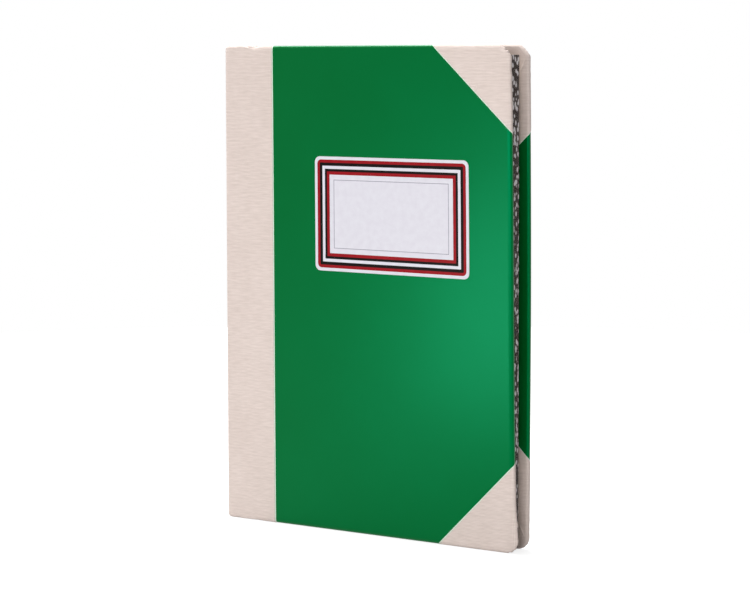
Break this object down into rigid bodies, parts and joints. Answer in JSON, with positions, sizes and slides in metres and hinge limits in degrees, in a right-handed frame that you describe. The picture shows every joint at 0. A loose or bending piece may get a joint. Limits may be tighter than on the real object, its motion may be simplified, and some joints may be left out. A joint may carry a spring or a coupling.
{
  "type": "hardcover lined notebook",
  "caption": "Half-cloth case-bound notebook: green paper sides, beige cloth spine and corners, striped blank label, hinged covers and sewn ruled leaves.",
  "frame": {"origin": "centre of the closed notebook's outline, at the tail edge that it stands on", "axes": "+Z from tail to head, +X from spine to fore-edge, -Y out of the front cover"},
  "size_m": [0.1534, 0.0157, 0.216],
  "materials": {
    "book_cloth": "natural beige book cloth, plain woven, matt",
    "green_paper": "green embossed covering paper with a soft satin coat",
    "greyboard": "solid grey binder's board, uncoated",
    "endpaper": "white wove endpaper, uncoated",
    "ruled_paper": "white writing paper, feint ruled, edges sprinkled black",
    "label_paper": "coated white paper with red and black printed bands",
    "gauze": "open cotton gauze, unbleached",
    "thread": "waxed linen thread",
    "kraft": "brown kraft lining paper",
    "band": "woven cotton band"
  },
  "bodies": {
    "spine": {"spine_cloth": "book_cloth", "spine_inlay": "greyboard", "spine_lining": "kraft", "mull": "gauze", "head_band": "band", "tail_band": "band", "sewn_folds": "ruled_paper", "sewing_thread_1": "thread", "sewing_thread_2": "thread", "sewing_thread_3": "thread", "sewing_thread_4": "thread", "sewing_thread_5": "thread", "front_joint_cloth": "book_cloth", "back_joint_cloth": "book_cloth", "front_endpaper_hinge": "endpaper", "back_endpaper_hinge": "endpaper"},
    "front_cover": {"front_board": "greyboard", "front_paper": "green_paper", "front_cloth": "book_cloth", "front_corner_head": "book_cloth", "front_corner_tail": "book_cloth", "front_pastedown": "endpaper", "front_mull_flap": "gauze", "label": "label_paper"},
    "back_cover": {"back_board": "greyboard", "back_paper": "green_paper", "back_cloth": "book_cloth", "back_corner_head": "book_cloth", "back_corner_tail": "book_cloth", "back_pastedown": "endpaper", "back_mull_flap": "gauze"},
    "front_flyleaf": {"front_flyleaf": "endpaper"},
    "back_flyleaf": {"back_flyleaf": "endpaper"},
    "section_01": {"section_01": "ruled_paper"},
    "section_02": {"section_02": "ruled_paper"},
    "section_03": {"section_03": "ruled_paper"},
    "section_04": {"section_04": "ruled_paper"},
    "section_05": {"section_05": "ruled_paper"},
    "section_06": {"section_06": "ruled_paper"},
    "section_07": {"section_07": "ruled_paper"},
    "section_08": {"section_08": "ruled_paper"},
    "section_09": {"section_09": "ruled_paper"},
    "section_10": {"section_10": "ruled_paper"},
    "section_11": {"section_11": "ruled_paper"},
    "section_12": {"section_12": "ruled_paper"}
  },
  "joints": [
    {"name": "front_cover_hinge", "type": "hinge", "parent": "spine", "child": "front_cover", "pos_m": [-0.06774, -0.00797, 0.108], "axis": [0, 0, -1], "range_deg": [0, 180], "deforming": ["front_joint_cloth", "front_endpaper_hinge"]},
    {"name": "back_cover_hinge", "type": "hinge", "parent": "spine", "child": "back_cover", "pos_m": [-0.06774, 0.00797, 0.108], "axis": [0, 0, 1], "range_deg": [0, 180], "deforming": ["back_joint_cloth", "back_endpaper_hinge"]},
    {"name": "front_flyleaf_turn", "type": "hinge", "parent": "spine", "child": "front_flyleaf", "pos_m": [-0.06774, -0.00797, 0.108], "axis": [0, 0, -1], "range_deg": [0, 172.8]},
    {"name": "section_01_turn", "type": "hinge", "parent": "spine", "child": "section_01", "pos_m": [-0.06774, -0.00797, 0.108], "axis": [0, 0, -1], "range_deg": [0, 167.4]},
    {"name": "section_02_turn", "type": "hinge", "parent": "spine", "child": "section_02", "pos_m": [-0.06774, -0.00797, 0.108], "axis": [0, 0, -1], "range_deg": [0, 163.8]},
    {"name": "section_03_turn", "type": "hinge", "parent": "spine", "child": "section_03", "pos_m": [-0.06774, -0.00797, 0.108], "axis": [0, 0, -1], "range_deg": [0, 159.3]},
    {"name": "section_04_turn", "type": "hinge", "parent": "spine", "child": "section_04", "pos_m": [-0.06774, -0.00797, 0.108], "axis": [0, 0, -1], "range_deg": [0, 153.9]},
    {"name": "section_05_turn", "type": "hinge", "parent": "spine", "child": "section_05", "pos_m": [-0.06774, -0.00797, 0.108], "axis": [0, 0, -1], "range_deg": [0, 147.6]},
    {"name": "section_06_turn", "type": "hinge", "parent": "spine", "child": "section_06", "pos_m": [-0.06774, -0.00797, 0.108], "axis": [0, 0, -1], "range_deg": [0, 138.6]},
    {"name": "section_07_turn", "type": "hinge", "parent": "spine", "child": "section_07", "pos_m": [-0.06774, -0.00797, 0.108], "axis": [0, 0, -1], "range_deg": [0, 41.4]},
    {"name": "section_08_turn", "type": "hinge", "parent": "spine", "child": "section_08", "pos_m": [-0.06774, -0.00797, 0.108], "axis": [0, 0, -1], "range_deg": [0, 32.4]},
    {"name": "section_09_turn", "type": "hinge", "parent": "spine", "child": "section_09", "pos_m": [-0.06774, -0.00797, 0.108], "axis": [0, 0, -1], "range_deg": [0, 26.1]},
    {"name": "section_10_turn", "type": "hinge", "parent": "spine", "child": "section_10", "pos_m": [-0.06774, -0.00797, 0.108], "axis": [0, 0, -1], "range_deg": [0, 20.7]},
    {"name": "section_11_turn", "type": "hinge", "parent": "spine", "child": "section_11", "pos_m": [-0.06774, -0.00797, 0.108], "axis": [0, 0, -1], "range_deg": [0, 16.2]},
    {"name": "section_12_turn", "type": "hinge", "parent": "spine", "child": "section_12", "pos_m": [-0.06774, -0.00797, 0.108], "axis": [0, 0, -1], "range_deg": [0, 12.6]},
    {"name": "back_flyleaf_turn", "type": "hinge", "parent": "spine", "child": "back_flyleaf", "pos_m": [-0.06774, 0.00797, 0.108], "axis": [0, 0, 1], "range_deg": [0, 45]}
  ],
  "couplings": [
    {"joint": "front_flyleaf_turn", "follows": "front_cover_hinge", "ratio": 0.96},
    {"joint": "section_01_turn", "follows": "front_cover_hinge", "ratio": 0.93},
    {"joint": "section_02_turn", "follows": "front_cover_hinge", "ratio": 0.91},
    {"joint": "section_03_turn", "follows": "front_cover_hinge", "ratio": 0.885},
    {"joint": "section_04_turn", "follows": "front_cover_hinge", "ratio": 0.855},
    {"joint": "section_05_turn", "follows": "front_cover_hinge", "ratio": 0.82},
    {"joint": "section_06_turn", "follows": "front_cover_hinge", "ratio": 0.77},
    {"joint": "section_07_turn", "follows": "front_cover_hinge", "ratio": 0.23},
    {"joint": "section_08_turn", "follows": "front_cover_hinge", "ratio": 0.18},
    {"joint": "section_09_turn", "follows": "front_cover_hinge", "ratio": 0.145},
    {"joint": "section_10_turn", "follows": "front_cover_hinge", "ratio": 0.115},
    {"joint": "section_11_turn", "follows": "front_cover_hinge", "ratio": 0.09},
    {"joint": "section_12_turn", "follows": "front_cover_hinge", "ratio": 0.07},
    {"joint": "back_flyleaf_turn", "follows": "back_cover_hinge", "ratio": 0.25}
  ]
}
